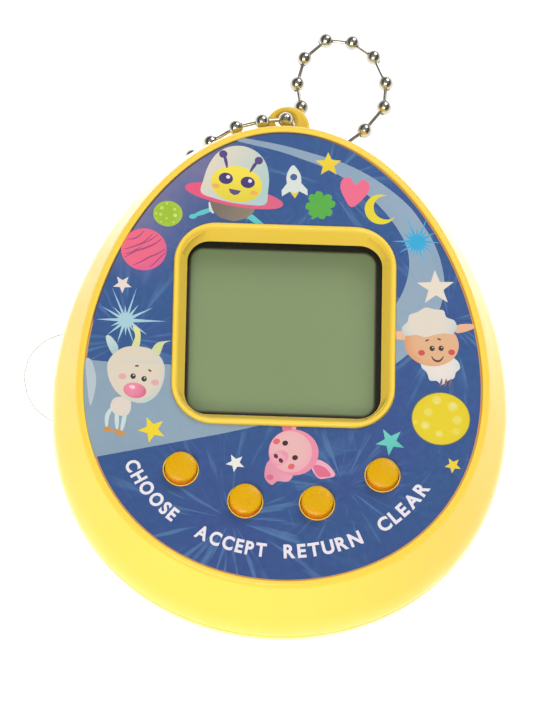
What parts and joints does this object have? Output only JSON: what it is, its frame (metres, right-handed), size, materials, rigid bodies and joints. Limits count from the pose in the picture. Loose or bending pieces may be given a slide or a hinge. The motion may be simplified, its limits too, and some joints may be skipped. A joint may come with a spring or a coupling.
{
  "type": "virtual pet keychain",
  "caption": "Egg-shaped handheld electronic toy with a square display window, push buttons, a battery door in the back and a ball chain on a lug.",
  "frame": {"origin": "the point of the flat back directly behind the centre of the display window", "axes": "+X right, +Y towards the chain lug, +Z out of the face, so the toy lies on its back"},
  "size_m": [0.0487, 0.0688, 0.0178],
  "materials": {
    "shell": "glossy moulded yellow plastic",
    "label": "printed foil label under clear film",
    "clear": "clear polished plastic window",
    "display": "grey-green liquid crystal display",
    "reflector": "satin silver film",
    "black_plastic": "matte black plastic",
    "rubber": "grey silicone rubber",
    "board": "green solder mask on glass fibre board",
    "resin": "black epoxy resin",
    "ceramic": "white ceramic",
    "button": "amber translucent plastic",
    "steel": "bright steel",
    "brass": "plain brass",
    "film": "clear plastic film",
    "wire_red": "red insulation",
    "nickel": "bright nickel plate"
  },
  "bodies": {
    "root": {"front_shell": "shell", "rear_shell": "shell", "face_label": "label", "window_lens": "clear", "lcd_glass": "display", "lcd_reflector": "reflector", "lcd_frame": "black_plastic", "zebra_strip_upper": "rubber", "zebra_strip_lower": "rubber", "circuit_board": "board", "chip_blob": "resin", "board_capacitor": "ceramic", "board_resistor": "resin", "dome_choose": "rubber", "dome_accept": "rubber", "dome_return": "rubber", "dome_clear": "rubber", "battery_left": "steel", "battery_right": "steel", "contact_positive": "brass", "contact_negative": "brass", "case_screw_top": "steel", "case_screw_left": "steel", "case_screw_right": "steel", "case_screw_bottom": "steel", "board_screw_left": "steel", "board_screw_right": "steel", "buzzer_plate": "brass", "buzzer_ceramic": "ceramic", "buzzer_wire_red": "wire_red", "buzzer_wire_black": "black_plastic"},
    "choose_button": {"button_choose": "button"},
    "accept_button": {"button_accept": "button"},
    "return_button": {"button_return": "button"},
    "clear_button": {"button_clear": "button"},
    "door": {"battery_door": "shell", "battery_door_screw": "steel", "contact_bridge": "brass"},
    "tab": {"pull_tab": "film"},
    "chain_left_run": {"chain_left": "nickel"},
    "chain_left_tail": {"chain_left_end": "nickel"},
    "chain_right_run": {"chain_right": "nickel"},
    "chain_loop_run": {"chain_loop": "nickel", "chain_clasp": "nickel"}
  },
  "joints": [
    {"name": "choose_press", "type": "slide", "parent": "root", "child": "choose_button", "axis": [0, 0, -1], "range_m": [0, 0.0005], "stiffness_N_per_m": 800, "deforming": ["dome_choose"]},
    {"name": "accept_press", "type": "slide", "parent": "root", "child": "accept_button", "axis": [0, 0, -1], "range_m": [0, 0.0005], "stiffness_N_per_m": 800, "deforming": ["dome_accept"]},
    {"name": "return_press", "type": "slide", "parent": "root", "child": "return_button", "axis": [0, 0, -1], "range_m": [0, 0.0005], "stiffness_N_per_m": 800, "deforming": ["dome_return"]},
    {"name": "clear_press", "type": "slide", "parent": "root", "child": "clear_button", "axis": [0, 0, -1], "range_m": [0, 0.0005], "stiffness_N_per_m": 800, "deforming": ["dome_clear"]},
    {"name": "door_removal", "type": "slide", "parent": "root", "child": "door", "axis": [0, 0, -1], "range_m": [0, 0.01]},
    {"name": "tab_pull", "type": "slide", "parent": "root", "child": "tab", "axis": [-1, 0, 0], "range_m": [0, 0.022]},
    {"name": "chain_left_swing", "type": "hinge", "parent": "root", "child": "chain_left_run", "pos_m": [0.0001, 0.0259, 0.00805], "axis": [0, 0, 1], "range_deg": [-12, 4]},
    {"name": "chain_tail_swing", "type": "hinge", "parent": "chain_left_run", "child": "chain_left_tail", "pos_m": [-0.0093, 0.023, 0.0044], "axis": [0, 0, 1], "range_deg": [0, 8]},
    {"name": "chain_right_swing", "type": "hinge", "parent": "root", "child": "chain_right_run", "pos_m": [0.0001, 0.0259, 0.00805], "axis": [0, 0, 1], "range_deg": [0, 10]},
    {"name": "chain_loop_swing", "type": "hinge", "parent": "chain_right_run", "child": "chain_loop_run", "pos_m": [0.0022, 0.0359, 0.00075], "axis": [0, 0, 1], "range_deg": [0, 6]}
  ]
}
